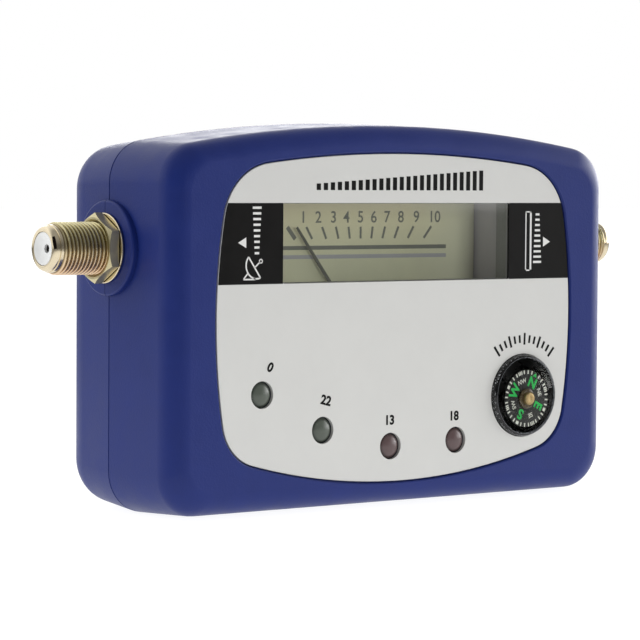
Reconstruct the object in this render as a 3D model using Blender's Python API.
"""A hand-held satellite signal meter, built piece by piece in metres, +Z up.

The front of the meter faces -Y. Every piece hangs from one empty on the front face, so
inside this script a place is (x, depth, z): x to the viewer's right, depth backwards from
the front face, and z up from the lowest edge of the housing.
"""

import math

import bmesh
import bpy
from mathutils import Vector

# Fits between pieces
GAP = 0.0003
CLOSE_FIT = 0.00015
OVERRUN = 0.001
SINK = 0.0005

# The housing: two drafted halves that meet on a parting line
BODY_WIDTH = 0.106
BODY_HEIGHT = 0.0715
BODY_DEPTH = 0.0385
CROWN_RADIUS = 0.292
CORNER_RADIUS = 0.0079
PARTING_OFFSET = 0.0005
FRONT_DRAFT = 2.1
REAR_DRAFT = 5.2
FRONT_FILLET = 0.00425
REAR_FILLET = 0.010
SIDE_WALL = 0.0022
FRONT_WALL = 0.0028
REAR_WALL = 0.0024
LIP_SETBACK = 0.00125
LIP_HEIGHT = 0.0015
corner_tightening_share = 0.54

# The round bosses on the two sides, split by the parting line
SOCKET_RISE = 0.01255
BOSS_RADIUS = 0.00865
BOSS_PROUD = 0.0009
BOSS_BEVEL = 0.0004

# Housing screws, driven from the back into posts of the front half
SCREW_X = 0.0415
LOWER_SCREW_Z = 0.0125
SCREW_ABOVE_SOCKET = 0.0077
SCREW_SHANK_RADIUS = 0.00145
SCREW_LENGTH = 0.020
SCREW_HEAD_RADIUS = 0.0028
SCREW_HEAD_HEIGHT = 0.0019
SCREW_RECESS_DEPTH = 0.003
POST_RADIUS = 0.0035
POST_REACH = 0.0031
TUBE_RADIUS = 0.0042
DRIVE_WIDTH = 0.0006
DRIVE_DEPTH = 0.001

# The printed label in its shallow recess
LABEL_HALF_WIDTH = 0.0424
LABEL_TOP_MARGIN = 0.0058
LABEL_BOTTOM = 0.00475
LABEL_CROWN_RADIUS = 0.2446
LABEL_BASE_RADIUS = 0.1307
LABEL_SIDE_RADIUS = 0.1122
LABEL_TOP_CORNER = 0.0114
LABEL_BOTTOM_CORNER = 0.0090
LABEL_SETBACK = 0.00025
LABEL_THICKNESS = 0.0007
LABEL_BEVEL = 0.0001

# The meter window and the clear cover behind it
WINDOW_LEFT = -0.0277
WINDOW_RIGHT = 0.0267
WINDOW_RISE = 0.01355
WINDOW_HEIGHT = 0.0146
WINDOW_CORNER = 0.0004
PANE_SETBACK = 0.0004
PANE_THICKNESS = 0.001
PANE_SKIRT = 0.0008
COVER_FLANGE = 0.0012

# The meter case: wide over the scale, narrow round the movement
CASE_HALF_WIDTH = 0.0298
CASE_HEAD_MARGIN = 0.0030
CASE_SHOULDER_MARGIN = 0.0033
CASE_NECK_HALF_WIDTH = 0.0102
CASE_NECK_REACH = 0.0098
CASE_WALL = 0.0012
CASE_BOARD_SPACE = 0.00115
CASE_CORNER = 0.001
LEDGE_WIDTH = 0.002
LOCATING_RIB = 0.0012
LOCATING_RIB_REACH = 0.005

# The scale plate, the needle and the moving-coil movement
DIAL_DEPTH = 0.01225
DIAL_THICKNESS = 0.0005
PIVOT_DROP = 0.0108
NEEDLE_REST = -37.4
NEEDLE_LENGTH = 0.0261
NEEDLE_TIP_WIDTH = 0.00045
NEEDLE_ROOT_WIDTH = 0.0008
NEEDLE_THICKNESS = 0.00025
NEEDLE_CLEARANCE = 0.00075
NEEDLE_TAIL = 0.0052
COUNTERWEIGHT_RADIUS = 0.0008
HUB_RADIUS = 0.0012
HUB_LENGTH = 0.0007
STAFF_RADIUS = 0.0004
STAFF_CLEARANCE = 0.0003
CORE_RADIUS = 0.0036
CORE_DEPTH = 0.0135
REAR_PIVOT_SPACE = 0.0032
COIL_SIDE = 0.0013
COIL_CROSS = 0.0008
COIL_WIDTH = 0.0024
YOKE_INNER_RADIUS = 0.0056
YOKE_RADIUS = 0.0070
YOKE_LUG_WIDTH = 0.002
COLLAR_WALL = 0.0011
JEWEL_RADIUS = 0.0011
JEWEL_LENGTH = 0.002
JEWEL_BORE = 0.00075
JEWEL_BORE_DEPTH = 0.0009
BRIDGE_THICKNESS = 0.0009
BRIDGE_WIDTH = 0.0030
BRIDGE_DEPTH = 0.0075
HAIRSPRING_RADIUS = 0.0032
HAIRSPRING_STRIP = 0.00015
HAIRSPRING_WIDTH = 0.0004
HAIRSPRING_TURNS = 2.5
TERMINAL_RADIUS = 0.0005
TERMINAL_OFFSET = 0.020
TERMINAL_RISE = 0.0007

# The lamps: four 5 mm light-emitting diodes
LED_RADIUS = 0.00245
LED_RIM_RADIUS = 0.0029
LED_RIM_HEIGHT = 0.001
LED_HEIGHT = 0.0086
LED_NOSE = 0.0010
LED_TIP_DEPTH = 0.0002
LED_LEAD_WIDTH = 0.0005
LED_LEAD_SPACING = 0.00254
LABEL_LED_HOLE = 0.0025

# The button compass and its sagging card
COMPASS_X = 0.0306
COMPASS_HEIGHT = 0.0195
COMPASS_RADIUS = 0.0079
COMPASS_WALL = 0.0008
COMPASS_FLANGE_RADIUS = 0.0090
COMPASS_FLANGE = 0.0012
COMPASS_BASE_DEPTH = 0.0066
COMPASS_FLOOR = 0.0012
DOME_RISE = 0.00285
DOME_WALL = 0.0005
DOME_CORNER = 0.0011
DOME_CROWN_RISE = 0.0015
DOME_SKIRT_DEPTH = 0.0003
CARD_RADIUS = 0.0055
CARD_THICKNESS = 0.0005
CARD_PROUD = 0.00085
CARD_SIDE_OFFSET = 0.0002
CARD_SAG = 0.0006
CARD_HUB_RADIUS = 0.0019
CARD_HUB_HEIGHT = 0.0004
CARD_TURN = 27.0
CAP_RADIUS = 0.0012
CAP_HEIGHT = 0.0006
COMPASS_PIVOT_RADIUS = 0.0003
COMPASS_PIVOT_FOOT = 0.0012
MAGNET_LENGTH = 0.0080
MAGNET_WIDTH = 0.0026
MAGNET_THICKNESS = 0.001

# The threaded sockets and what holds them
SOCKET_REACH = 0.0143
THREAD_RADIUS = 0.0047625
NOSE_LENGTH = 0.00133
NOSE_ROOT_RADIUS = 0.0041
NOSE_TIP_RADIUS = 0.003365
SOCKET_BORE = 0.00305
SOCKET_FLANGE_RADIUS = 0.0055
SOCKET_FLANGE = 0.002
SOCKET_FLANGE_X = 0.0500
SOCKET_TAIL_RADIUS = 0.0040
SOCKET_TAIL = 0.0035
INSULATOR_DISH = 0.0008
INSULATOR_HOLE = 0.00085
CONTACT_RADIUS = 0.0009
CONTACT_SETBACK = 0.0015
CONTACT_TAIL_RADIUS = 0.00045
CONTACT_BEND = 0.001
CONTACT_BOARD_X = 0.0420
WASHER_RADIUS = 0.00635
WASHER_THICKNESS = 0.0004
NUT_ACROSS_FLATS = 0.01111
NUT_THICKNESS = 0.002
NUT_BEVEL = 0.0004

# The circuit board and the parts soldered to it
BOARD_THICKNESS = 0.0016
BOARD_HALF_WIDTH = 0.048
BOARD_BOTTOM = 0.007
BOARD_MARGIN = 0.006
BOARD_CORNER = 0.0015
BOARD_POST_X = 0.043
BOARD_POST_DROP = 0.005
BOARD_POST_RADIUS = 0.00275
BOARD_SCREW_RADIUS = 0.0011
BOARD_SCREW_LENGTH = 0.0062
BOARD_SCREW_HEAD_RADIUS = 0.002
BOARD_SCREW_HEAD_HEIGHT = 0.0013
PIN_HOLE_RADIUS = 0.0006
PIN_PROUD = 0.0008
CHIP_LENGTH = 0.0098
CHIP_WIDTH = 0.0060
CHIP_HEIGHT = 0.0018
CHIP_X = 0.0250
CHIP_DROP = 0.003
CHIP_BEVEL = 0.0003
CAPACITOR_RADIUS = 0.0025
CAPACITOR_HEIGHT = 0.0050
CAPACITOR_CRIMP = 0.0003
CAPACITOR_X = -0.0240
CAPACITOR_RISE = 0.014
CAPACITOR_PITCH = 0.0075
CHOKE_RADIUS = 0.0032
CHOKE_WAIST_RADIUS = 0.0021
CHOKE_HEIGHT = 0.0045
CHOKE_CHEEK = 0.0008
CHOKE_X = 0.0260
CHOKE_RISE = 0.015
REGULATOR_RADIUS = 0.0024
REGULATOR_FLAT = 0.0013
REGULATOR_HEIGHT = 0.0048
REGULATOR_X = -0.0250
REGULATOR_DROP = 0.012

# The gain control, turned from the back
GAIN_DROP = 0.00075
GAIN_BODY_WIDTH = 0.0098
GAIN_BODY_TALL = 0.0110
GAIN_BODY_BEVEL = 0.0004
GAIN_COLLAR_RADIUS = 0.0045
GAIN_COLLAR_HEIGHT = 0.001
GAIN_SHELL_SPACE = 0.00095
GAIN_SHAFT_RADIUS = 0.003
GAIN_SHAFT_FLAT = 0.0022
KNOB_RADIUS = 0.0080
KNOB_THICKNESS = 0.0028
KNOB_SETBACK = 0.0007
KNOB_FLUTE = 0.0004
KNOB_BEVEL = 0.0004
KNOB_FACE = 0.0011
KNOB_POINTER_WIDTH = 0.0010
KNOB_POINTER_DEPTH = 0.0004
RECESS_RADIUS = 0.0105
RECESS_FLOOR = 0.0018

# Where the lamps stand on the label, as shares of its half width and of its middle's height
led_place_shares = {
    "led_0_hz": (-0.760, 0.625),
    "led_22_khz": (-0.432, 0.426),
    "led_13_v": (-0.054, 0.321),
    "led_18_v": (0.322, 0.332),
}
GREEN_LEDS = ("led_0_hz", "led_22_khz")

# Facets of round work
CORNER_STEPS = 4
CROWN_STEPS = 5
LABEL_STEPS = 4
FILLET_STEPS = 4
ROUND_STEPS = 24
SMALL_ROUND_STEPS = 12
PIN_STEPS = 8
KNOB_FLUTES = 14
SMOOTH_ANGLE = 35.0

# Places that follow from the sizes above
FRONT_Y = -(BODY_DEPTH - (DOME_RISE - LABEL_SETBACK)) / 2
SIDE_X = BODY_WIDTH / 2
BODY_MIDDLE = BODY_HEIGHT / 2
SOCKET_HEIGHT = BODY_MIDDLE + SOCKET_RISE
UPPER_SCREW_Z = SOCKET_HEIGHT + SCREW_ABOVE_SOCKET
LABEL_TOP = BODY_HEIGHT - LABEL_TOP_MARGIN
LABEL_MIDDLE = (LABEL_TOP + LABEL_BOTTOM) / 2
WINDOW_MIDDLE = BODY_MIDDLE + WINDOW_RISE
WINDOW_BOTTOM = WINDOW_MIDDLE - WINDOW_HEIGHT / 2
WINDOW_TOP = WINDOW_MIDDLE + WINDOW_HEIGHT / 2
CASE_TOP = WINDOW_TOP + CASE_HEAD_MARGIN
CASE_SHOULDER = WINDOW_BOTTOM - CASE_SHOULDER_MARGIN
PIVOT_HEIGHT = WINDOW_BOTTOM - PIVOT_DROP
CASE_BOTTOM = PIVOT_HEIGHT - CASE_NECK_REACH
TERMINAL_HEIGHT = WINDOW_MIDDLE + TERMINAL_RISE
GAIN_HEIGHT = BODY_MIDDLE - GAIN_DROP
BOARD_TOP = UPPER_SCREW_Z + BOARD_MARGIN
BOARD_POST_Z = GAIN_HEIGHT - BOARD_POST_DROP
CHIP_Z = GAIN_HEIGHT - CHIP_DROP
CAPACITOR_Z = GAIN_HEIGHT + CAPACITOR_RISE
CHOKE_Z = GAIN_HEIGHT + CHOKE_RISE
REGULATOR_Z = GAIN_HEIGHT - REGULATOR_DROP
METER_X = (WINDOW_LEFT + WINDOW_RIGHT) / 2
FLANGE_DEPTH = FRONT_WALL + GAP
CASE_RIM_DEPTH = FLANGE_DEPTH + COVER_FLANGE + GAP
PARTING_DEPTH = BODY_DEPTH / 2 - PARTING_OFFSET
BOARD_DEPTH = PARTING_DEPTH + SOCKET_FLANGE_RADIUS + GAP
BOARD_REAR_DEPTH = BOARD_DEPTH + BOARD_THICKNESS
PART_SEAT_DEPTH = BOARD_REAR_DEPTH + GAP
CASE_BACK_DEPTH = BOARD_DEPTH - CASE_BOARD_SPACE
CASE_FLOOR_DEPTH = CASE_BACK_DEPTH - CASE_WALL
CORE_LENGTH = CASE_FLOOR_DEPTH - REAR_PIVOT_SPACE - CORE_DEPTH
POST_END_DEPTH = PARTING_DEPTH + POST_REACH
SCREW_SEAT_DEPTH = BODY_DEPTH - SCREW_RECESS_DEPTH
COIL_FRONT_DEPTH = CORE_DEPTH - GAP - COIL_CROSS
COIL_REAR_DEPTH = CORE_DEPTH + CORE_LENGTH + GAP + COIL_CROSS
NEEDLE_DEPTH = DIAL_DEPTH - NEEDLE_CLEARANCE - NEEDLE_THICKNESS
CARD_X = COMPASS_X + CARD_SIDE_OFFSET
CARD_Z = COMPASS_HEIGHT - CARD_SAG
CARD_FACE_DEPTH = LABEL_SETBACK - CARD_PROUD
SOCKET_TIP_X = SIDE_X + SOCKET_REACH
KNOB_FACE_DEPTH = BODY_DEPTH - KNOB_SETBACK
KNOB_BACK_DEPTH = KNOB_FACE_DEPTH - KNOB_THICKNESS
RECESS_FLOOR_DEPTH = KNOB_BACK_DEPTH - GAP
RECESS_BACK_DEPTH = RECESS_FLOOR_DEPTH - RECESS_FLOOR
SCREW_PLACES = [(x, z) for z in (LOWER_SCREW_Z, UPPER_SCREW_Z) for x in (-SCREW_X, SCREW_X)]
LEDS = {
    name: (across * LABEL_HALF_WIDTH, up * LABEL_MIDDLE)
    for name, (across, up) in led_place_shares.items()
}
SIDES = {"left": -1, "right": 1}


# The scene and its frames

def clear_scene():
    """Take away whatever the scene starts with."""
    for thing in list(bpy.data.objects):
        bpy.data.objects.remove(thing, do_unlink=True)


def empty(name, location, parent=None, turn=0.0):
    """An empty to hang pieces from, turned clockwise about the depth axis by some degrees."""
    frame = bpy.data.objects.new(name, None)
    frame.empty_display_size = BODY_DEPTH / 4
    frame.location = location
    frame.rotation_euler = (0.0, math.radians(turn), 0.0)
    frame.parent = parent
    bpy.context.scene.collection.objects.link(frame)
    return frame


def material(name, red, green, blue, roughness, metallic=0.0):
    """A Principled material from a colour as it reads in a photograph, 0 to 255."""
    finish = bpy.data.materials.new(name)
    finish.use_nodes = True
    shader = finish.node_tree.nodes["Principled BSDF"]
    linear = [(channel / 255) ** 2.2 for channel in (red, green, blue)]
    shader.inputs["Base Color"].default_value = (*linear, 1.0)
    shader.inputs["Roughness"].default_value = roughness
    shader.inputs["Metallic"].default_value = metallic
    return finish


def finished_mesh(name, bm):
    """A mesh from the bmesh, with its faces outwards and its round parts smooth."""
    bmesh.ops.recalc_face_normals(bm, faces=bm.faces)
    mesh = bpy.data.meshes.new(name)
    bm.to_mesh(mesh)
    bm.free()
    mesh.shade_smooth()
    mesh.set_sharp_from_angle(angle=math.radians(SMOOTH_ANGLE))
    return mesh


def piece(name, bm, finish, parent):
    """One named piece of the meter."""
    thing = bpy.data.objects.new(name, finished_mesh(name, bm))
    thing.data.materials.append(finish)
    thing.parent = parent
    bpy.context.scene.collection.objects.link(thing)
    return thing


def combine(target, name, bm, operation):
    """Cut the bmesh's solids from the target, or join them to it."""
    guide = bpy.data.objects.new(name, finished_mesh(name, bm))
    guide.parent = target.parent
    guide.hide_render = True
    guide.display_type = "WIRE"
    bpy.context.scene.collection.objects.link(guide)
    modifier = target.modifiers.new(name, "BOOLEAN")
    modifier.operation = operation
    modifier.solver = "EXACT"
    modifier.object = guide


def cut(target, name, bm):
    combine(target, name, bm, "DIFFERENCE")


def join(target, name, bm):
    combine(target, name, bm, "UNION")


# Outlines on the front plane, as lists of (x, z)

def arc(centre, radius, start, end, steps):
    """Points along an arc, both ends included, between two angles in degrees."""
    points = []
    for step in range(steps + 1):
        angle = math.radians(start + (end - start) * step / steps)
        points.append((centre[0] + radius * math.cos(angle), centre[1] + radius * math.sin(angle)))
    return points


def mirrored(half):
    """A whole outline from its right half, which runs from bottom centre to top centre."""
    return half + [(-x, z) for x, z in reversed(half[1:-1])]


def body_outline(draft, fillet=0.0, wall=0.0):
    """The housing's outline, drawn in all round by its draft, its edge fillet and a wall."""
    inset = draft + fillet + wall
    radius = CORNER_RADIUS - corner_tightening_share * inset
    corner_x = SIDE_X - inset - radius
    crown_z = BODY_HEIGHT - CROWN_RADIUS
    crown = CROWN_RADIUS - inset
    shoulder_z = crown_z + math.sqrt((crown - radius) ** 2 - corner_x ** 2)
    contact = math.degrees(math.atan2(shoulder_z - crown_z, corner_x))
    half = [(0.0, inset)]
    half += arc((corner_x, inset + radius), radius, -90, 0, CORNER_STEPS)
    half += arc((corner_x, shoulder_z), radius, 0, contact, CORNER_STEPS)
    half += arc((0.0, crown_z), crown, contact, 90, CROWN_STEPS)[1:]
    return mirrored(half)


def inner_fillet_centre(first, first_radius, second, second_radius, radius):
    """The centre of a round corner that touches two larger arcs from inside."""
    span = second - first
    reach = span.length
    near = first_radius - radius
    far = second_radius - radius
    along = (near ** 2 - far ** 2 + reach ** 2) / (2 * reach)
    across = math.sqrt(near ** 2 - along ** 2)
    direction = span / reach
    square = Vector((-direction.y, direction.x))
    options = [first + direction * along + square * across, first + direction * along - square * across]
    return max(options, key=lambda point: point.x)


def angle_to(centre, point):
    return math.degrees(math.atan2(point.y - centre.y, point.x - centre.x))


def label_outline(grow=0.0):
    """Four shallow arcs with a round corner at each meeting."""
    side = Vector((LABEL_HALF_WIDTH - LABEL_SIDE_RADIUS, LABEL_MIDDLE))
    crown = Vector((0.0, LABEL_TOP - LABEL_CROWN_RADIUS))
    base = Vector((0.0, LABEL_BOTTOM + LABEL_BASE_RADIUS))
    upper = inner_fillet_centre(side, LABEL_SIDE_RADIUS, crown, LABEL_CROWN_RADIUS, LABEL_TOP_CORNER)
    lower = inner_fillet_centre(side, LABEL_SIDE_RADIUS, base, LABEL_BASE_RADIUS, LABEL_BOTTOM_CORNER)
    turns = [-90, angle_to(base, lower), angle_to(side, lower), angle_to(side, upper)]
    turns += [angle_to(crown, upper), 90]
    arcs = [(base, LABEL_BASE_RADIUS), (lower, LABEL_BOTTOM_CORNER), (side, LABEL_SIDE_RADIUS)]
    arcs += [(upper, LABEL_TOP_CORNER), (crown, LABEL_CROWN_RADIUS)]
    half = []
    for (centre, radius), start, end in zip(arcs, turns, turns[1:]):
        stretch = arc(centre, radius + grow, start, end, LABEL_STEPS)
        half += stretch if not half else stretch[1:]
    return mirrored(half)


def rounded_box(left, right, bottom, top, radius):
    """A rectangle with round corners."""
    corners = [(right - radius, bottom + radius, -90), (right - radius, top - radius, 0)]
    corners += [(left + radius, top - radius, 90), (left + radius, bottom + radius, 180)]
    points = []
    for x, z, start in corners:
        points += arc((x, z), radius, start, start + 90, 3)
    return points


def window_outline(grow=0.0):
    edges = (WINDOW_LEFT - grow, WINDOW_RIGHT + grow, WINDOW_BOTTOM - grow, WINDOW_TOP + grow)
    return rounded_box(*edges, WINDOW_CORNER)


def case_outline(inset=0.0):
    """The meter case: a wide head for the scale over a narrow neck for the movement."""
    corner = CASE_CORNER
    wide = CASE_HALF_WIDTH - inset
    narrow = CASE_NECK_HALF_WIDTH - inset
    bottom = CASE_BOTTOM + inset
    shoulder = CASE_SHOULDER + inset
    top = CASE_TOP - inset
    half = [(0.0, bottom)]
    half += arc((narrow - corner, bottom + corner), corner, -90, 0, 3)
    half += arc((narrow + corner, shoulder - corner), corner, 180, 90, 3)
    half += arc((wide - corner, shoulder + corner), corner, -90, 0, 3)
    half += arc((wide - corner, top - corner), corner, 0, 90, 3)
    half += [(0.0, top)]
    return [(METER_X + x, z) for x, z in mirrored(half)]


# Solids, added to a bmesh

def add_loft(bm, rings, closed=False):
    """Skin a row of rings of equal count, and close its two ends or join them together."""
    loops = [[bm.verts.new(point) for point in ring] for ring in rings]
    pairs = list(zip(loops, loops[1:]))
    if closed:
        pairs.append((loops[-1], loops[0]))
    for near, far in pairs:
        for index in range(len(near)):
            following = (index + 1) % len(near)
            bm.faces.new((near[index], near[following], far[following], far[index]))
    if not closed:
        bm.faces.new(loops[0])
        bm.faces.new(loops[-1])


def at_depth(outline, depth):
    return [Vector((x, depth, z)) for x, z in outline]


def add_prism(bm, outline, near, far):
    """An outline on the front plane, carried from one depth to another."""
    add_loft(bm, [at_depth(outline, near), at_depth(outline, far)])


def add_box(bm, xs, depths, zs):
    left, right = xs
    bottom, top = zs
    add_prism(bm, [(left, bottom), (right, bottom), (right, top), (left, top)], *depths)


def add_turned(bm, profile, centre, axis="Y", steps=ROUND_STEPS):
    """Turn a profile of (radius, along) about an axis.

    About Y the centre is (x, z) and along is a depth; about X the centre is (depth, z) and
    along is an x. A profile that starts and ends on the axis is a solid; one that doesn't
    is a ring, whose last point joins its first.
    """
    def place(radius, along, angle):
        across = centre[0] + radius * math.cos(angle)
        up = centre[1] + radius * math.sin(angle)
        return Vector((across, along, up)) if axis == "Y" else Vector((along, across, up))

    angles = [math.tau * step / steps for step in range(steps)]
    loops = []
    for radius, along in profile:
        if radius == 0.0:
            loops.append([bm.verts.new(place(0.0, along, 0.0))] * steps)
        else:
            loops.append([bm.verts.new(place(radius, along, angle)) for angle in angles])
    pairs = list(zip(loops, loops[1:]))
    if profile[0][0] != 0.0:
        pairs.append((loops[-1], loops[0]))
    for near, far in pairs:
        for index in range(steps):
            following = (index + 1) % steps
            corners = [near[index], near[following], far[following], far[index]]
            face = list(dict.fromkeys(corners))
            if len(face) > 2:
                bm.faces.new(face)


def add_rod(bm, centre, radius, near, far, axis="Y", steps=SMALL_ROUND_STEPS):
    """A plain cylinder between two places along its axis."""
    add_turned(bm, [(0.0, near), (radius, near), (radius, far), (0.0, far)], centre, axis, steps)


def add_swept(bm, path, radii, steps=PIN_STEPS):
    """A round wire along a path in a level plane, with a radius at each point."""
    rings = []
    for index, point in enumerate(path):
        before = path[max(index - 1, 0)]
        after = path[min(index + 1, len(path) - 1)]
        heading = (after - before).normalized()
        square = Vector((-heading.y, heading.x, 0.0))
        upright = Vector((0.0, 0.0, 1.0))
        ring = []
        for step in range(steps):
            angle = math.tau * step / steps
            ring.append(point + radii[index] * (square * math.cos(angle) + upright * math.sin(angle)))
        rings.append(ring)
    add_loft(bm, rings)


# The housing

def front_draft(depth):
    return (PARTING_DEPTH - GAP / 2 - depth) * math.tan(math.radians(FRONT_DRAFT))


def rear_draft(depth):
    return (depth - PARTING_DEPTH - GAP / 2) * math.tan(math.radians(REAR_DRAFT))


def fillet_stations(radius, steps):
    """How far an edge fillet has come in, and how far it is from its flat, from flat to wall."""
    stations = []
    for step in range(steps + 1):
        angle = math.pi / 2 * (1 - step / steps)
        stations.append((radius * (1 - math.cos(angle)), radius * (1 - math.sin(angle))))
    return stations


def front_shell_rings():
    """From the front face out over the wall, round the lip and back along the inside."""
    rings = []
    for fillet, depth in fillet_stations(FRONT_FILLET, FILLET_STEPS):
        rings.append(at_depth(body_outline(front_draft(depth), fillet), depth))
    edge = PARTING_DEPTH - GAP / 2
    lip_end = PARTING_DEPTH + LIP_HEIGHT
    rings.append(at_depth(body_outline(front_draft(edge)), edge))
    rings.append(at_depth(body_outline(0.0, wall=LIP_SETBACK), edge))
    rings.append(at_depth(body_outline(0.0, wall=LIP_SETBACK), lip_end))
    rings.append(at_depth(body_outline(0.0, wall=SIDE_WALL), lip_end))
    for fillet, depth in reversed(fillet_stations(FRONT_FILLET - SIDE_WALL, FILLET_STEPS - 2)):
        outline = body_outline(front_draft(FRONT_WALL + depth), fillet, SIDE_WALL)
        rings.append(at_depth(outline, FRONT_WALL + depth))
    return rings


def rear_shell_rings():
    """From the back out over the wall, round the groove and back along the inside."""
    rings = []
    for fillet, rise in fillet_stations(REAR_FILLET, FILLET_STEPS + 1):
        depth = BODY_DEPTH - rise
        rings.append(at_depth(body_outline(rear_draft(depth), fillet), depth))
    edge = PARTING_DEPTH + GAP / 2
    groove = LIP_SETBACK - GAP
    groove_end = PARTING_DEPTH + LIP_HEIGHT + GAP
    rings.append(at_depth(body_outline(rear_draft(edge)), edge))
    rings.append(at_depth(body_outline(0.0, wall=groove), edge))
    rings.append(at_depth(body_outline(0.0, wall=groove), groove_end))
    rings.append(at_depth(body_outline(rear_draft(groove_end), wall=SIDE_WALL), groove_end))
    for fillet, rise in reversed(fillet_stations(REAR_FILLET - SIDE_WALL, FILLET_STEPS - 1)):
        depth = BODY_DEPTH - REAR_WALL - rise
        rings.append(at_depth(body_outline(rear_draft(depth), fillet, SIDE_WALL), depth))
    return rings


def add_half_boss(bm, side, edge, towards):
    """Half of a side boss: a bevelled half disc from the parting line, one way or the other."""
    inner = SIDE_X - SIDE_WALL / 2
    outer = SIDE_X + BOSS_PROUD
    rings = []
    stations = [(inner, BOSS_RADIUS), (outer - BOSS_BEVEL, BOSS_RADIUS), (outer, BOSS_RADIUS - BOSS_BEVEL)]
    for x, radius in stations:
        half = arc((0.0, SOCKET_HEIGHT), radius, -90, 90, ROUND_STEPS // 2)
        rings.append([Vector((side * x, edge + towards * reach, z)) for reach, z in half])
    add_loft(bm, rings)


def add_socket_bores(bm):
    """The holes that the two sockets pass through, each shared by both halves."""
    for side in SIDES.values():
        near = side * (SIDE_X - SIDE_WALL - OVERRUN)
        far = side * (SIDE_X + BOSS_PROUD + OVERRUN)
        centre = (PARTING_DEPTH, SOCKET_HEIGHT)
        add_rod(bm, centre, THREAD_RADIUS + GAP, near, far, "X", ROUND_STEPS)


def front_shell(finish, datum):
    """The front half: posts and ribs inside, and openings for the window, lamps and compass."""
    bm = bmesh.new()
    add_loft(bm, front_shell_rings())
    shell = piece("front_shell", bm, finish, datum)

    bm = bmesh.new()
    for side in SIDES.values():
        add_half_boss(bm, side, PARTING_DEPTH - GAP / 2, -1)
    for centre in SCREW_PLACES:
        add_rod(bm, centre, POST_RADIUS, FRONT_WALL - SINK, POST_END_DEPTH - GAP / 2)
    for side in SIDES.values():
        centre = (side * BOARD_POST_X, BOARD_POST_Z)
        add_rod(bm, centre, BOARD_POST_RADIUS, FRONT_WALL - SINK, BOARD_DEPTH - GAP)
    rib_depths = (FRONT_WALL - SINK, FRONT_WALL + LOCATING_RIB_REACH)
    for side in SIDES.values():
        near = METER_X + side * (CASE_HALF_WIDTH + GAP)
        xs = sorted((near, near + side * LOCATING_RIB))
        add_box(bm, xs, rib_depths, (CASE_SHOULDER + CASE_WALL, CASE_TOP - CASE_WALL))
        middle = METER_X + side * CASE_HALF_WIDTH / 2
        xs = (middle - CASE_HALF_WIDTH / 4, middle + CASE_HALF_WIDTH / 4)
        add_box(bm, xs, rib_depths, (CASE_TOP + GAP, CASE_TOP + GAP + LOCATING_RIB))
    join(shell, "front_posts_and_ribs", bm)

    bm = bmesh.new()
    floor = LABEL_SETBACK + LABEL_THICKNESS + GAP
    add_prism(bm, label_outline(GAP), -OVERRUN, floor)
    cut(shell, "label_recess", bm)

    bm = bmesh.new()
    depths = (-OVERRUN, FRONT_WALL + OVERRUN)
    add_prism(bm, window_outline(CLOSE_FIT), *depths)
    for centre in LEDS.values():
        add_rod(bm, centre, LED_RADIUS + GAP, *depths)
    add_rod(bm, (COMPASS_X, COMPASS_HEIGHT), COMPASS_RADIUS + GAP, *depths, steps=ROUND_STEPS)
    for centre in SCREW_PLACES:
        start = SCREW_SEAT_DEPTH - SCREW_LENGTH - OVERRUN
        add_rod(bm, centre, SCREW_SHANK_RADIUS + GAP, start, POST_END_DEPTH + OVERRUN)
    for side in SIDES.values():
        centre = (side * BOARD_POST_X, BOARD_POST_Z)
        start = PART_SEAT_DEPTH - BOARD_SCREW_LENGTH - OVERRUN
        add_rod(bm, centre, BOARD_SCREW_RADIUS + GAP, start, BOARD_DEPTH + OVERRUN)
    add_socket_bores(bm)
    cut(shell, "front_openings", bm)


def rear_shell(finish, datum):
    """The rear half: screw tubes, a dished recess for the gain knob, and a round back edge."""
    bm = bmesh.new()
    add_loft(bm, rear_shell_rings())
    shell = piece("rear_shell", bm, finish, datum)

    bm = bmesh.new()
    for side in SIDES.values():
        add_half_boss(bm, side, PARTING_DEPTH + GAP / 2, 1)
    inner_back = BODY_DEPTH - REAR_WALL
    for centre in SCREW_PLACES:
        add_rod(bm, centre, TUBE_RADIUS, POST_END_DEPTH + GAP / 2, inner_back + SINK)
    cup = (RECESS_BACK_DEPTH, inner_back + SINK)
    add_rod(bm, (0.0, GAIN_HEIGHT), RECESS_RADIUS + SIDE_WALL, *cup, steps=ROUND_STEPS)
    join(shell, "screw_tubes", bm)

    bm = bmesh.new()
    profile = [(0.0, RECESS_FLOOR_DEPTH), (RECESS_RADIUS - SINK, RECESS_FLOOR_DEPTH)]
    profile += [(RECESS_RADIUS, RECESS_FLOOR_DEPTH + SINK), (RECESS_RADIUS, BODY_DEPTH + OVERRUN)]
    profile += [(0.0, BODY_DEPTH + OVERRUN)]
    add_turned(bm, profile, (0.0, GAIN_HEIGHT))
    for centre in SCREW_PLACES:
        profile = [(0.0, POST_END_DEPTH - OVERRUN), (SCREW_SHANK_RADIUS + GAP, POST_END_DEPTH - OVERRUN)]
        profile += [(SCREW_SHANK_RADIUS + GAP, SCREW_SEAT_DEPTH), (SCREW_HEAD_RADIUS + GAP, SCREW_SEAT_DEPTH)]
        profile += [(SCREW_HEAD_RADIUS + GAP, BODY_DEPTH + OVERRUN), (0.0, BODY_DEPTH + OVERRUN)]
        add_turned(bm, profile, centre, steps=SMALL_ROUND_STEPS)
    add_socket_bores(bm)
    cut(shell, "rear_openings", bm)

    bm = bmesh.new()
    shaft_hole = GAIN_SHAFT_RADIUS + GAP
    through = (RECESS_BACK_DEPTH - OVERRUN, RECESS_FLOOR_DEPTH + OVERRUN)
    add_rod(bm, (0.0, GAIN_HEIGHT), shaft_hole, *through)
    cut(shell, "gain_shaft_hole", bm)


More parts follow.
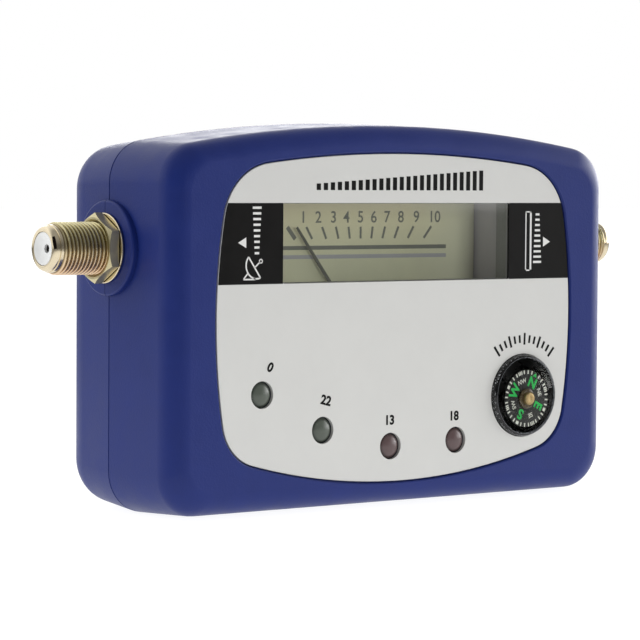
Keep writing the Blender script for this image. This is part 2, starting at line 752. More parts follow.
def pan_head_screw(name, centre, seat, shank_radius, length, head_radius, head_height, finish, datum):
    """A screw driven from the back: a shank towards the front and a domed head."""
    seat += GAP
    tip = seat - length
    profile = [(0.0, tip), (shank_radius / 2, tip), (shank_radius, tip + shank_radius)]
    profile += [(shank_radius, seat), (head_radius, seat), (head_radius, seat + head_height / 2)]
    profile += [(head_radius * 0.75, seat + head_height * 0.9), (0.0, seat + head_height)]
    bm = bmesh.new()
    add_turned(bm, profile, centre, steps=SMALL_ROUND_STEPS)
    return piece(name, bm, finish, datum)


def cut_cross_drive(screw, centre, head_top):
    """The cross that the screwdriver turns."""
    arm = SCREW_HEAD_RADIUS * 0.6
    half = DRIVE_WIDTH / 2
    cross = [(arm, -half), (arm, half), (half, half), (half, arm), (-half, arm), (-half, half)]
    cross += [(-arm, half), (-arm, -half), (-half, -half), (-half, -arm), (half, -arm), (half, -half)]
    bm = bmesh.new()
    outline = [(centre[0] + x, centre[1] + z) for x, z in cross]
    add_prism(bm, outline, head_top - DRIVE_DEPTH, head_top + OVERRUN)
    cut(screw, screw.name + "_drive", bm)


def face_label(finish, datum):
    """The printed plate, cut for the window, the lamps and the compass."""
    front = LABEL_SETBACK
    back = LABEL_SETBACK + LABEL_THICKNESS
    bm = bmesh.new()
    rings = [at_depth(label_outline(-LABEL_BEVEL), front), at_depth(label_outline(), front + LABEL_BEVEL)]
    rings.append(at_depth(label_outline(), back))
    add_loft(bm, rings)
    label = piece("face_label", bm, finish, datum)

    bm = bmesh.new()
    depths = (front - OVERRUN, back + OVERRUN)
    add_prism(bm, window_outline(), *depths)
    for centre in LEDS.values():
        add_rod(bm, centre, LABEL_LED_HOLE, *depths)
    add_rod(bm, (COMPASS_X, COMPASS_HEIGHT), COMPASS_RADIUS + CLOSE_FIT, *depths, steps=ROUND_STEPS)
    cut(label, "label_openings", bm)


# The meter

def meter_cover(finish, datum):
    """A clear cover: a hollow pane that fills the window, on a flange as large as the case."""
    bm = bmesh.new()
    add_prism(bm, case_outline(), FLANGE_DEPTH, FLANGE_DEPTH + COVER_FLANGE)
    cover = piece("meter_cover", bm, finish, datum)

    bm = bmesh.new()
    add_prism(bm, window_outline(-CLOSE_FIT), PANE_SETBACK, FLANGE_DEPTH + COVER_FLANGE / 2)
    join(cover, "cover_pane", bm)
    bm = bmesh.new()
    hollow = (PANE_SETBACK + PANE_THICKNESS, FLANGE_DEPTH + COVER_FLANGE + OVERRUN)
    add_prism(bm, window_outline(-PANE_SKIRT), *hollow)
    cut(cover, "cover_hollow", bm)


def meter_case(finish, datum):
    """The tub behind the cover: ledges for the scale, a collar for the yoke, ribs for the bridge."""
    bm = bmesh.new()
    add_prism(bm, case_outline(), CASE_RIM_DEPTH, CASE_BACK_DEPTH)
    case = piece("meter_case", bm, finish, datum)

    bm = bmesh.new()
    add_prism(bm, case_outline(CASE_WALL), CASE_RIM_DEPTH - OVERRUN, CASE_FLOOR_DEPTH)
    cut(case, "case_hollow", bm)

    bm = bmesh.new()
    inner = CASE_HALF_WIDTH - CASE_WALL
    ledge_depths = (DIAL_DEPTH + DIAL_THICKNESS + GAP, CASE_FLOOR_DEPTH + SINK)
    for side in SIDES.values():
        xs = sorted((METER_X + side * (inner - LEDGE_WIDTH), METER_X + side * (inner + SINK)))
        zs = (CASE_SHOULDER + CASE_WALL + LEDGE_WIDTH, CASE_TOP - CASE_WALL - LEDGE_WIDTH)
        add_box(bm, xs, ledge_depths, zs)
    neck = CASE_NECK_HALF_WIDTH - CASE_WALL
    rib_zs = (PIVOT_HEIGHT - BRIDGE_WIDTH / 2, PIVOT_HEIGHT + BRIDGE_WIDTH / 2)
    rib_depths = (BRIDGE_DEPTH + BRIDGE_THICKNESS + GAP, CORE_DEPTH)
    for side in SIDES.values():
        xs = sorted((METER_X + side * (YOKE_RADIUS + GAP), METER_X + side * (neck + SINK)))
        add_box(bm, xs, rib_depths, rib_zs)
    join(case, "case_ledges_and_ribs", bm)

    bm = bmesh.new()
    bore = YOKE_RADIUS + GAP
    front = CORE_DEPTH + CASE_WALL / 2
    ring = [(bore, front), (bore + COLLAR_WALL, front)]
    ring += [(bore + COLLAR_WALL, CASE_FLOOR_DEPTH + SINK), (bore, CASE_FLOOR_DEPTH + SINK)]
    add_turned(bm, ring, (METER_X, PIVOT_HEIGHT))
    join(case, "yoke_collar", bm)

    bm = bmesh.new()
    through = (CASE_FLOOR_DEPTH - OVERRUN, CASE_BACK_DEPTH + OVERRUN)
    add_rod(bm, (METER_X, PIVOT_HEIGHT), JEWEL_RADIUS + GAP, *through)
    for side in SIDES.values():
        centre = (METER_X + side * TERMINAL_OFFSET, TERMINAL_HEIGHT)
        add_rod(bm, centre, TERMINAL_RADIUS + GAP, *through, steps=PIN_STEPS)
    cut(case, "case_back_holes", bm)


def meter_dial(finish, datum):
    """The scale plate, resting on the case's ledges."""
    inset = CASE_WALL + GAP
    bm = bmesh.new()
    edges = (METER_X - CASE_HALF_WIDTH + inset, METER_X + CASE_HALF_WIDTH - inset)
    plate = rounded_box(*edges, CASE_SHOULDER + inset, CASE_TOP - inset, CASE_CORNER)
    add_prism(bm, plate, DIAL_DEPTH, DIAL_DEPTH + DIAL_THICKNESS)
    piece("meter_dial", bm, finish, datum)


def meter_needle(finish, axis):
    """A tapered blade with its hub and counterweighted tail, drawn pointing straight up."""
    depths = (NEEDLE_DEPTH, NEEDLE_DEPTH + NEEDLE_THICKNESS)
    tip = NEEDLE_TIP_WIDTH / 2
    root = NEEDLE_ROOT_WIDTH / 2
    blade = [(tip, NEEDLE_LENGTH), (-tip, NEEDLE_LENGTH), (-root, 0.0)]
    blade += [(-root, -NEEDLE_TAIL), (root, -NEEDLE_TAIL), (root, 0.0)]
    bm = bmesh.new()
    add_prism(bm, blade, *depths)
    needle = piece("meter_needle", bm, finish, axis)

    middle = NEEDLE_DEPTH + NEEDLE_THICKNESS / 2
    bm = bmesh.new()
    hub_depths = (middle - HUB_LENGTH / 2, middle + HUB_LENGTH / 2)
    add_rod(bm, (0.0, 0.0), HUB_RADIUS, *hub_depths)
    add_rod(bm, (0.0, -NEEDLE_TAIL), COUNTERWEIGHT_RADIUS, *hub_depths, steps=PIN_STEPS)
    join(needle, "needle_hub", bm)
    bm = bmesh.new()
    bore = STAFF_RADIUS + STAFF_CLEARANCE
    add_rod(bm, (0.0, 0.0), bore, middle - HUB_LENGTH, middle + HUB_LENGTH, steps=PIN_STEPS)
    cut(needle, "needle_bore", bm)


def moving_coil(finish, axis):
    """The coil's frame, a flat loop round the core that turns in the gap inside the yoke."""
    def loop(half_length, near, far, half_width):
        corners = [(-half_length, near), (half_length, near), (half_length, far), (-half_length, far)]
        return [[Vector((x, depth, z)) for x, depth in corners] for z in (-half_width, half_width)]

    inner = CORE_RADIUS + GAP
    bm = bmesh.new()
    add_loft(bm, loop(inner + COIL_SIDE, COIL_FRONT_DEPTH, COIL_REAR_DEPTH, COIL_WIDTH / 2))
    coil = piece("moving_coil", bm, finish, axis)
    bm = bmesh.new()
    hollow = (COIL_FRONT_DEPTH + COIL_CROSS, COIL_REAR_DEPTH - COIL_CROSS)
    add_loft(bm, loop(inner, *hollow, COIL_WIDTH / 2 + OVERRUN))
    cut(coil, "coil_hollow", bm)


def movement_pieces(steel, brass, magnet, spring_metal, datum, axis):
    """Staffs and coil turn with the needle; core, yoke, jewels, bridge and spring stand still."""
    centre = (METER_X, PIVOT_HEIGHT)
    jewel_front = BRIDGE_DEPTH + BRIDGE_THICKNESS + CLOSE_FIT - JEWEL_LENGTH
    front_tip = jewel_front + JEWEL_LENGTH - JEWEL_BORE_DEPTH + GAP
    jewel_rear = COIL_REAR_DEPTH + JEWEL_BORE_DEPTH

    bm = bmesh.new()
    add_rod(bm, (0.0, 0.0), STAFF_RADIUS, front_tip, COIL_FRONT_DEPTH - GAP, steps=PIN_STEPS)
    piece("front_staff", bm, steel, axis)
    bm = bmesh.new()
    rear_tip = jewel_rear + JEWEL_BORE_DEPTH - GAP
    add_rod(bm, (0.0, 0.0), STAFF_RADIUS, COIL_REAR_DEPTH + GAP, rear_tip, steps=PIN_STEPS)
    piece("rear_staff", bm, steel, axis)

    bm = bmesh.new()
    add_rod(bm, centre, CORE_RADIUS, CORE_DEPTH, CORE_DEPTH + CORE_LENGTH, steps=ROUND_STEPS)
    piece("magnet_core", bm, magnet, datum)

    yoke_end = CORE_DEPTH + CORE_LENGTH
    bm = bmesh.new()
    ring = [(YOKE_INNER_RADIUS, CORE_DEPTH), (YOKE_RADIUS, CORE_DEPTH)]
    ring += [(YOKE_RADIUS, yoke_end), (YOKE_INNER_RADIUS, yoke_end)]
    add_turned(bm, ring, centre)
    yoke = piece("iron_yoke", bm, steel, datum)
    bm = bmesh.new()
    for up in (-1, 1):
        zs = sorted((PIVOT_HEIGHT + up * (CORE_RADIUS + GAP), PIVOT_HEIGHT + up * (YOKE_INNER_RADIUS + SINK)))
        xs = (METER_X - YOKE_LUG_WIDTH / 2, METER_X + YOKE_LUG_WIDTH / 2)
        add_box(bm, xs, (CORE_DEPTH + SINK, yoke_end - SINK), zs)
    join(yoke, "yoke_lugs", bm)

    bm = bmesh.new()
    bottom = jewel_front + JEWEL_LENGTH
    floor = bottom - JEWEL_BORE_DEPTH
    profile = [(0.0, jewel_front), (JEWEL_RADIUS, jewel_front), (JEWEL_RADIUS, bottom)]
    profile += [(JEWEL_BORE, bottom), (JEWEL_BORE, floor), (0.0, floor)]
    add_turned(bm, profile, centre, steps=SMALL_ROUND_STEPS)
    piece("front_jewel_screw", bm, brass, datum)
    bm = bmesh.new()
    floor = jewel_rear + JEWEL_BORE_DEPTH
    back = CASE_BACK_DEPTH - CLOSE_FIT
    profile = [(0.0, floor), (JEWEL_BORE, floor), (JEWEL_BORE, jewel_rear)]
    profile += [(JEWEL_RADIUS, jewel_rear), (JEWEL_RADIUS, back), (0.0, back)]
    add_turned(bm, profile, centre, steps=SMALL_ROUND_STEPS)
    piece("rear_jewel_screw", bm, brass, datum)

    bm = bmesh.new()
    half = CASE_NECK_HALF_WIDTH - CASE_WALL - GAP
    strap = rounded_box(
        METER_X - half, METER_X + half, PIVOT_HEIGHT - BRIDGE_WIDTH / 2, PIVOT_HEIGHT + BRIDGE_WIDTH / 2,
        CASE_CORNER,
    )
    add_prism(bm, strap, BRIDGE_DEPTH, BRIDGE_DEPTH + BRIDGE_THICKNESS)
    bridge = piece("pivot_bridge", bm, brass, datum)
    bm = bmesh.new()
    through = (BRIDGE_DEPTH - OVERRUN, BRIDGE_DEPTH + BRIDGE_THICKNESS + OVERRUN)
    add_rod(bm, centre, JEWEL_RADIUS + CLOSE_FIT, *through)
    cut(bridge, "bridge_hole", bm)

    hairspring(spring_metal, bottom_depth=bottom + GAP, datum=datum)


def hairspring(finish, bottom_depth, datum):
    """A flat spiral strip round the front staff."""
    inner = STAFF_RADIUS + GAP + HAIRSPRING_STRIP
    steps = int(HAIRSPRING_TURNS * SMALL_ROUND_STEPS)
    rings = []
    for step in range(steps + 1):
        share = step / steps
        angle = math.tau * HAIRSPRING_TURNS * share
        radius = inner + (HAIRSPRING_RADIUS - inner) * share
        ring = []
        for out, depth in ((0, 0), (1, 0), (1, 1), (0, 1)):
            reach = radius + out * HAIRSPRING_STRIP
            x = METER_X + reach * math.cos(angle)
            z = PIVOT_HEIGHT + reach * math.sin(angle)
            ring.append(Vector((x, bottom_depth + depth * HAIRSPRING_WIDTH, z)))
        rings.append(ring)
    bm = bmesh.new()
    add_loft(bm, rings)
    piece("hairspring", bm, finish, datum)


def meter_terminals(finish, datum):
    """Two pins that carry the current from the board into the meter."""
    for name, side in SIDES.items():
        bm = bmesh.new()
        centre = (METER_X + side * TERMINAL_OFFSET, TERMINAL_HEIGHT)
        add_rod(bm, centre, TERMINAL_RADIUS, CASE_FLOOR_DEPTH - PIN_PROUD, BOARD_REAR_DEPTH + PIN_PROUD,
                steps=PIN_STEPS)
        piece("meter_terminal_" + name, bm, finish, datum)


# The lamps

def led(name, centre, finish, datum):
    """A lamp with a low dome, on two square leads that reach the board."""
    base = LED_TIP_DEPTH + LED_HEIGHT
    rim = base - LED_RIM_HEIGHT
    profile = []
    for step in range(FILLET_STEPS + 1):
        angle = math.pi / 2 * step / FILLET_STEPS
        nose = LED_NOSE * (1 - math.cos(angle))
        profile.append((LED_RADIUS * math.sin(angle), LED_TIP_DEPTH + nose))
    profile += [(LED_RADIUS, rim), (LED_RIM_RADIUS, rim), (LED_RIM_RADIUS, base), (0.0, base)]
    bm = bmesh.new()
    add_turned(bm, profile, centre, steps=SMALL_ROUND_STEPS)
    lamp = piece(name, bm, finish, datum)
    bm = bmesh.new()
    half = LED_LEAD_WIDTH / 2
    depths = (base - SINK, BOARD_REAR_DEPTH + PIN_PROUD)
    for side in SIDES.values():
        x = centre[0] + side * LED_LEAD_SPACING / 2
        add_box(bm, (x - half, x + half), depths, (centre[1] - half, centre[1] + half))
    join(lamp, name + "_leads", bm)


# The compass

def dome_profile():
    """Out over the crown and down the wall, then back up inside."""
    def shell(radius, top, corner):
        edge = radius - corner
        crown_radius = (edge ** 2 + DOME_CROWN_RISE ** 2) / (2 * DOME_CROWN_RISE)
        points = []
        for step in range(FILLET_STEPS + 1):
            out = edge * step / FILLET_STEPS
            points.append((out, top + crown_radius - math.sqrt(crown_radius ** 2 - out ** 2)))
        shoulder = top + DOME_CROWN_RISE
        for step in range(1, FILLET_STEPS):
            angle = math.pi / 2 * step / FILLET_STEPS
            points.append((edge + corner * math.sin(angle), shoulder + corner * (1 - math.cos(angle))))
        return points + [(radius, shoulder + corner), (radius, DOME_SKIRT_DEPTH)]

    top = LABEL_SETBACK - DOME_RISE
    outside = shell(COMPASS_RADIUS, top, DOME_CORNER)
    inside = shell(COMPASS_RADIUS - DOME_WALL, top + DOME_WALL, DOME_CORNER - DOME_WALL / 2)
    return outside + inside[::-1]


def compass(black, clear, printed, brass, magnet, steel, datum, axis):
    """A black cup and a clear dome, with a card, magnet and cap that turn on a point."""
    centre = (COMPASS_X, COMPASS_HEIGHT)
    inner = COMPASS_RADIUS - COMPASS_WALL
    floor = COMPASS_BASE_DEPTH - COMPASS_FLOOR
    flange_end = FLANGE_DEPTH + COMPASS_FLANGE
    rim = DOME_SKIRT_DEPTH + GAP
    profile = [(0.0, floor), (inner, floor), (inner, rim), (COMPASS_RADIUS, rim)]
    profile += [(COMPASS_RADIUS, FLANGE_DEPTH), (COMPASS_FLANGE_RADIUS, FLANGE_DEPTH)]
    profile += [(COMPASS_FLANGE_RADIUS, flange_end), (COMPASS_RADIUS, flange_end)]
    profile += [(COMPASS_RADIUS, COMPASS_BASE_DEPTH), (0.0, COMPASS_BASE_DEPTH)]
    bm = bmesh.new()
    add_turned(bm, profile, centre)
    piece("compass_base", bm, black, datum)

    bm = bmesh.new()
    add_turned(bm, dome_profile(), centre)
    piece("compass_dome", bm, clear, datum)

    back = CARD_FACE_DEPTH + CARD_THICKNESS
    bore = COMPASS_PIVOT_RADIUS + GAP
    hub_top = CARD_FACE_DEPTH - CARD_HUB_HEIGHT
    bore_end = hub_top + CARD_HUB_HEIGHT * 0.75
    profile = [(0.0, hub_top), (CARD_HUB_RADIUS, hub_top), (CARD_HUB_RADIUS, CARD_FACE_DEPTH)]
    profile += [(CARD_RADIUS, CARD_FACE_DEPTH), (CARD_RADIUS, back), (bore, back), (bore, bore_end)]
    profile += [(0.0, bore_end)]
    bm = bmesh.new()
    add_turned(bm, profile, (0.0, 0.0))
    piece("compass_card", bm, printed, axis)

    bm = bmesh.new()
    cap_base = hub_top - CLOSE_FIT
    profile = [(0.0, cap_base - CAP_HEIGHT), (CAP_RADIUS * 0.85, cap_base - CAP_HEIGHT)]
    profile += [(CAP_RADIUS, cap_base - CAP_HEIGHT * 0.8), (CAP_RADIUS, cap_base), (0.0, cap_base)]
    add_turned(bm, profile, (0.0, 0.0), steps=SMALL_ROUND_STEPS)
    piece("compass_cap", bm, brass, axis)

    magnet_front = back + GAP
    half_width = MAGNET_WIDTH / 2
    half_length = MAGNET_LENGTH / 2
    bm = bmesh.new()
    bar = rounded_box(-half_width, half_width, -half_length, half_length, half_width / 4)
    add_prism(bm, bar, magnet_front, magnet_front + MAGNET_THICKNESS)
    bar_magnet = piece("compass_magnet", bm, magnet, axis)
    bm = bmesh.new()
    through = (magnet_front - OVERRUN, magnet_front + MAGNET_THICKNESS + OVERRUN)
    add_rod(bm, (0.0, 0.0), bore, *through)
    cut(bar_magnet, "magnet_hole", bm)

    bm = bmesh.new()
    foot = floor - GAP
    foot_front = foot - COMPASS_PIVOT_RADIUS
    profile = [(0.0, bore_end + GAP), (COMPASS_PIVOT_RADIUS, bore_end + 2 * GAP)]
    profile += [(COMPASS_PIVOT_RADIUS, foot_front), (COMPASS_PIVOT_FOOT, foot_front)]
    profile += [(COMPASS_PIVOT_FOOT, foot), (0.0, foot)]
    add_turned(bm, profile, (CARD_X, CARD_Z), steps=SMALL_ROUND_STEPS)
    piece("compass_pivot", bm, steel, datum)


# The sockets

def socket(name, side, plated, white, datum):
    """A threaded socket clamped on the parting line, with its washer, nut, insulator and contact."""
    centre = (PARTING_DEPTH, SOCKET_HEIGHT)
    tip = SOCKET_TIP_X
    shoulder = tip - NOSE_LENGTH
    flange_in = SOCKET_FLANGE_X - SOCKET_FLANGE
    tail = flange_in - SOCKET_TAIL
    profile = [(SOCKET_BORE, tail), (SOCKET_TAIL_RADIUS, tail), (SOCKET_TAIL_RADIUS, flange_in)]
    profile += [(SOCKET_FLANGE_RADIUS, flange_in), (SOCKET_FLANGE_RADIUS, SOCKET_FLANGE_X)]
    profile += [(THREAD_RADIUS, SOCKET_FLANGE_X), (THREAD_RADIUS, shoulder), (NOSE_ROOT_RADIUS, shoulder)]
    for step in range(1, FILLET_STEPS):
        angle = math.pi / 2 * step / FILLET_STEPS
        bulge = (NOSE_ROOT_RADIUS - NOSE_TIP_RADIUS) * (1 - math.cos(angle))
        profile.append((NOSE_ROOT_RADIUS - bulge, shoulder + NOSE_LENGTH * math.sin(angle)))
    profile += [(NOSE_TIP_RADIUS, tip), (SOCKET_BORE, tip)]
    bm = bmesh.new()
    add_turned(bm, [(radius, side * x) for radius, x in profile], centre, "X")
    piece(name + "_socket", bm, plated, datum)

    insulator_front = tip - CLOSE_FIT
    contact_front = tip - CONTACT_SETBACK
    channel = CONTACT_RADIUS + CLOSE_FIT
    outer = SOCKET_BORE - CLOSE_FIT
    profile = [(INSULATOR_HOLE, insulator_front - INSULATOR_DISH), (outer, insulator_front)]
    profile += [(outer, tail), (channel, tail), (channel, contact_front + GAP)]
    profile += [(INSULATOR_HOLE, contact_front + GAP)]
    bm = bmesh.new()
    add_turned(bm, [(radius, side * x) for radius, x in profile], centre, "X", SMALL_ROUND_STEPS)
    piece(name + "_insulator", bm, white, datum)

    thin = CONTACT_TAIL_RADIUS
    stations = [(contact_front, CONTACT_RADIUS), (tail - GAP, CONTACT_RADIUS), (tail - 2 * GAP, thin)]
    path = [Vector((side * x, PARTING_DEPTH, SOCKET_HEIGHT)) for x, _ in stations]
    radii = [radius for _, radius in stations]
    bend = CONTACT_BEND
    for x, depth in arc((CONTACT_BOARD_X + bend, PARTING_DEPTH + bend), bend, -90, -180, 4):
        path.append(Vector((side * x, depth, SOCKET_HEIGHT)))
        radii.append(thin)
    path.append(Vector((side * CONTACT_BOARD_X, BOARD_REAR_DEPTH + PIN_PROUD, SOCKET_HEIGHT)))
    radii.append(thin)
    bm = bmesh.new()
    add_swept(bm, path, radii)
    piece(name + "_contact", bm, plated, datum)

    washer_in = SIDE_X + BOSS_PROUD + CLOSE_FIT
    washer_out = washer_in + WASHER_THICKNESS
    hole = THREAD_RADIUS + GAP
    ring = [(hole, washer_in), (WASHER_RADIUS, washer_in), (WASHER_RADIUS, washer_out), (hole, washer_out)]
    bm = bmesh.new()
    add_turned(bm, [(radius, side * x) for radius, x in ring], centre, "X")
    piece(name + "_washer", bm, plated, datum)

    nut_in = washer_out + CLOSE_FIT
    nut_out = nut_in + NUT_THICKNESS
    corner = NUT_ACROSS_FLATS / 2 / math.cos(math.pi / 6)
    bm = bmesh.new()
    rings = []
    for x, radius in ((nut_in, corner), (nut_out - NUT_BEVEL, corner), (nut_out, corner - NUT_BEVEL)):
        hexagon = arc((PARTING_DEPTH, SOCKET_HEIGHT), radius, 90, 450, 6)[:-1]
        rings.append([Vector((side * x, depth, z)) for depth, z in hexagon])
    add_loft(bm, rings)
    nut = piece(name + "_nut", bm, plated, datum)
    bm = bmesh.new()
    add_rod(bm, centre, hole, side * (nut_in - CLOSE_FIT / 2), side * (nut_out + OVERRUN), "X", ROUND_STEPS)
    cut(nut, name + "_nut_bore", bm)


# The board and what is soldered to it

def circuit_board(finish, datum):
    """The board, notched round the screw tubes and drilled for every pin and screw."""
    bm = bmesh.new()
    outline = rounded_box(-BOARD_HALF_WIDTH, BOARD_HALF_WIDTH, BOARD_BOTTOM, BOARD_TOP, BOARD_CORNER)
    add_prism(bm, outline, BOARD_DEPTH, BOARD_REAR_DEPTH)
    board = piece("circuit_board", bm, finish, datum)

    bm = bmesh.new()
    through = (BOARD_DEPTH - OVERRUN, BOARD_REAR_DEPTH + OVERRUN)
    for centre in SCREW_PLACES:
        add_rod(bm, centre, TUBE_RADIUS + GAP, *through)
    for side in SIDES.values():
        add_rod(bm, (side * BOARD_POST_X, BOARD_POST_Z), BOARD_SCREW_RADIUS + GAP, *through)
        centre = (METER_X + side * TERMINAL_OFFSET, TERMINAL_HEIGHT)
        add_rod(bm, centre, TERMINAL_RADIUS + GAP, *through, steps=PIN_STEPS)
        centre = (side * CONTACT_BOARD_X, SOCKET_HEIGHT)
        add_rod(bm, centre, CONTACT_TAIL_RADIUS + GAP, *through, steps=PIN_STEPS)
        for x, z in LEDS.values():
            centre = (x + side * LED_LEAD_SPACING / 2, z)
            add_rod(bm, centre, PIN_HOLE_RADIUS, *through, steps=PIN_STEPS)
    cut(board, "board_holes", bm)


def board_components(black, ferrite, sleeve, datum):
    """An amplifier chip, two filter capacitors, a choke and a voltage regulator."""
    seat = PART_SEAT_DEPTH
    top = seat + CHIP_HEIGHT
    rings = []
    for inset, depth in ((0.0, seat), (0.0, top - CHIP_BEVEL), (CHIP_BEVEL, top)):
        half = CHIP_LENGTH / 2 - inset
        tall = CHIP_WIDTH / 2 - inset
        edges = (CHIP_X - half, CHIP_X + half, CHIP_Z - tall, CHIP_Z + tall)
        rings.append(at_depth(rounded_box(*edges, CHIP_BEVEL), depth))
    bm = bmesh.new()
    add_loft(bm, rings)
    piece("amplifier_chip", bm, black, datum)

    for number in (1, 2):
        centre = (CAPACITOR_X - (number - 1) * CAPACITOR_PITCH, CAPACITOR_Z)
        radius = CAPACITOR_RADIUS
        end = seat + CAPACITOR_HEIGHT
        profile = [(0.0, seat), (radius, seat), (radius, end - CAPACITOR_CRIMP)]
        profile += [(radius - CAPACITOR_CRIMP, end), (0.0, end)]
        bm = bmesh.new()
        add_turned(bm, profile, centre, steps=SMALL_ROUND_STEPS)
        piece(f"filter_capacitor_{number}", bm, sleeve, datum)

    end = seat + CHOKE_HEIGHT
    profile = [(0.0, seat), (CHOKE_RADIUS, seat), (CHOKE_RADIUS, seat + CHOKE_CHEEK)]
    profile += [(CHOKE_WAIST_RADIUS, seat + CHOKE_CHEEK), (CHOKE_WAIST_RADIUS, end - CHOKE_CHEEK)]
    profile += [(CHOKE_RADIUS, end - CHOKE_CHEEK), (CHOKE_RADIUS, end), (0.0, end)]
    bm = bmesh.new()
    add_turned(bm, profile, (CHOKE_X, CHOKE_Z), steps=SMALL_ROUND_STEPS)
    piece("supply_choke", bm, ferrite, datum)

    edge = math.degrees(math.asin(REGULATOR_FLAT / REGULATOR_RADIUS))
    outline = arc((REGULATOR_X, REGULATOR_Z), REGULATOR_RADIUS, -edge, 180 + edge, SMALL_ROUND_STEPS)
    bm = bmesh.new()
    add_prism(bm, outline, seat, seat + REGULATOR_HEIGHT)
    piece("voltage_regulator", bm, black, datum)


# The gain control

def flat_sided_circle(radius, flat, steps):
    """A circle with one flat below, as on a shaft that a knob keys to."""
    edge = math.degrees(math.asin(flat / radius))
    return arc((0.0, 0.0), radius, -edge, 180 + edge, steps)


def gain_control(grey, black, datum, axis):
    """A small control on the board, its shaft through the back, and the knob in its recess."""
    seat = PART_SEAT_DEPTH
    collar_top = RECESS_BACK_DEPTH - GAIN_SHELL_SPACE
    top = collar_top - GAIN_COLLAR_HEIGHT
    half = GAIN_BODY_WIDTH / 2
    tall = GAIN_BODY_TALL / 2
    bevel = GAIN_BODY_BEVEL
    bm = bmesh.new()
    body = rounded_box(-half, half, GAIN_HEIGHT - tall, GAIN_HEIGHT + tall, bevel)
    add_prism(bm, body, seat, top)
    control = piece("gain_control", bm, grey, datum)
    bm = bmesh.new()
    add_rod(bm, (0.0, GAIN_HEIGHT), GAIN_COLLAR_RADIUS, top - SINK, collar_top, steps=ROUND_STEPS)
    join(control, "gain_collar", bm)
    bm = bmesh.new()
    well = (seat + top) / 2
    add_rod(bm, (0.0, GAIN_HEIGHT), GAIN_SHAFT_RADIUS + GAP, well, collar_top + OVERRUN)
    cut(control, "gain_well", bm)

    bm = bmesh.new()
    shaft_end = KNOB_FACE_DEPTH - KNOB_FACE - GAP
    shaft = flat_sided_circle(GAIN_SHAFT_RADIUS, GAIN_SHAFT_FLAT, SMALL_ROUND_STEPS)
    add_prism(bm, shaft, well + GAP, shaft_end)
    piece("gain_shaft", bm, grey, axis)

    def fluted(inset):
        points = []
        for step in range(KNOB_FLUTES * 3):
            angle = math.tau * step / (KNOB_FLUTES * 3)
            radius = KNOB_RADIUS - inset - KNOB_FLUTE * (1 - math.cos(KNOB_FLUTES * angle)) / 2
            points.append((radius * math.cos(angle), radius * math.sin(angle)))
        return points

    bm = bmesh.new()
    rings = [at_depth(fluted(0.0), KNOB_BACK_DEPTH), at_depth(fluted(0.0), KNOB_FACE_DEPTH - KNOB_BEVEL)]
    rings.append(at_depth(fluted(KNOB_BEVEL), KNOB_FACE_DEPTH))
    add_loft(bm, rings)
    knob = piece("gain_knob", bm, black, axis)
    bm = bmesh.new()
    keyed = flat_sided_circle(GAIN_SHAFT_RADIUS + CLOSE_FIT, GAIN_SHAFT_FLAT + CLOSE_FIT, SMALL_ROUND_STEPS)
    add_prism(bm, keyed, KNOB_BACK_DEPTH - OVERRUN, KNOB_FACE_DEPTH - KNOB_FACE)
    half_pointer = KNOB_POINTER_WIDTH / 2
    pointer = (KNOB_FACE_DEPTH - KNOB_POINTER_DEPTH, KNOB_FACE_DEPTH + OVERRUN)
    add_box(bm, (-half_pointer, half_pointer), pointer, (0.0, KNOB_RADIUS + OVERRUN))
    cut(knob, "knob_bore_and_pointer", bm)


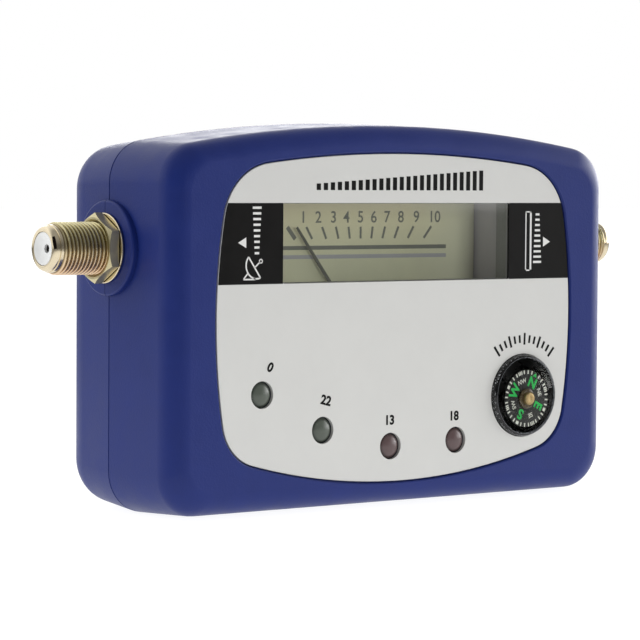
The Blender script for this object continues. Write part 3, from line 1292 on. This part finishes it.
def build():
    """Make every material, frame and piece."""
    clear_scene()
    blue = material("blue_housing", 52, 62, 118, 0.42)
    silver = material("silver_label", 205, 206, 202, 0.38, 0.15)
    clear = material("clear_plastic", 205, 210, 205, 0.08)
    moulding = material("grey_moulding", 150, 152, 146, 0.5)
    khaki = material("khaki_scale", 150, 146, 116, 0.6)
    dark = material("black_plastic", 30, 30, 30, 0.3)
    paint = material("needle_paint", 60, 60, 58, 0.5)
    copper = material("coil_copper", 168, 96, 58, 0.4, 0.8)
    steel = material("bright_steel", 150, 150, 150, 0.3, 1.0)
    brass = material("brass", 190, 160, 110, 0.3, 1.0)
    plated = material("gold_nickel_plate", 168, 154, 122, 0.28, 1.0)
    magnet = material("magnet", 70, 70, 74, 0.45, 0.6)
    white = material("white_insulator", 235, 236, 235, 0.35)
    board = material("board_laminate", 58, 92, 62, 0.5)
    sleeve = material("capacitor_sleeve", 36, 42, 64, 0.4)
    ferrite = material("ferrite", 66, 64, 62, 0.6)
    grey = material("control_grey", 110, 112, 112, 0.45)
    green_lens = material("green_lens", 88, 100, 88, 0.15)
    red_lens = material("red_lens", 104, 84, 86, 0.15)

    datum = empty("front_face_datum", (0.0, FRONT_Y, 0.0))
    needle_axis = empty("needle_axis", (METER_X, 0.0, PIVOT_HEIGHT), datum, NEEDLE_REST)
    card_axis = empty("compass_card_axis", (CARD_X, 0.0, CARD_Z), datum, CARD_TURN)
    gain_axis = empty("gain_axis", (0.0, 0.0, GAIN_HEIGHT), datum)

    front_shell(blue, datum)
    rear_shell(blue, datum)
    for number, centre in enumerate(SCREW_PLACES, start=1):
        screw = pan_head_screw(
            f"housing_screw_{number}", centre, SCREW_SEAT_DEPTH, SCREW_SHANK_RADIUS, SCREW_LENGTH,
            SCREW_HEAD_RADIUS, SCREW_HEAD_HEIGHT, steel, datum,
        )
        cut_cross_drive(screw, centre, SCREW_SEAT_DEPTH + GAP + SCREW_HEAD_HEIGHT)
    face_label(silver, datum)
    meter_cover(clear, datum)
    meter_case(moulding, datum)
    meter_dial(khaki, datum)
    meter_needle(paint, needle_axis)
    moving_coil(copper, needle_axis)
    movement_pieces(steel, brass, magnet, copper, datum, needle_axis)
    meter_terminals(steel, datum)
    for name, centre in LEDS.items():
        led(name, centre, green_lens if name in GREEN_LEDS else red_lens, datum)
    compass(dark, clear, dark, brass, magnet, steel, datum, card_axis)
    for name, side in SIDES.items():
        socket(name, side, plated, white, datum)
    circuit_board(board, datum)
    for name, side in SIDES.items():
        pan_head_screw(
            "board_screw_" + name, (side * BOARD_POST_X, BOARD_POST_Z), BOARD_REAR_DEPTH,
            BOARD_SCREW_RADIUS, BOARD_SCREW_LENGTH, BOARD_SCREW_HEAD_RADIUS, BOARD_SCREW_HEAD_HEIGHT,
            steel, datum,
        )
    board_components(dark, ferrite, sleeve, datum)
    gain_control(grey, dark, datum, gain_axis)


build()
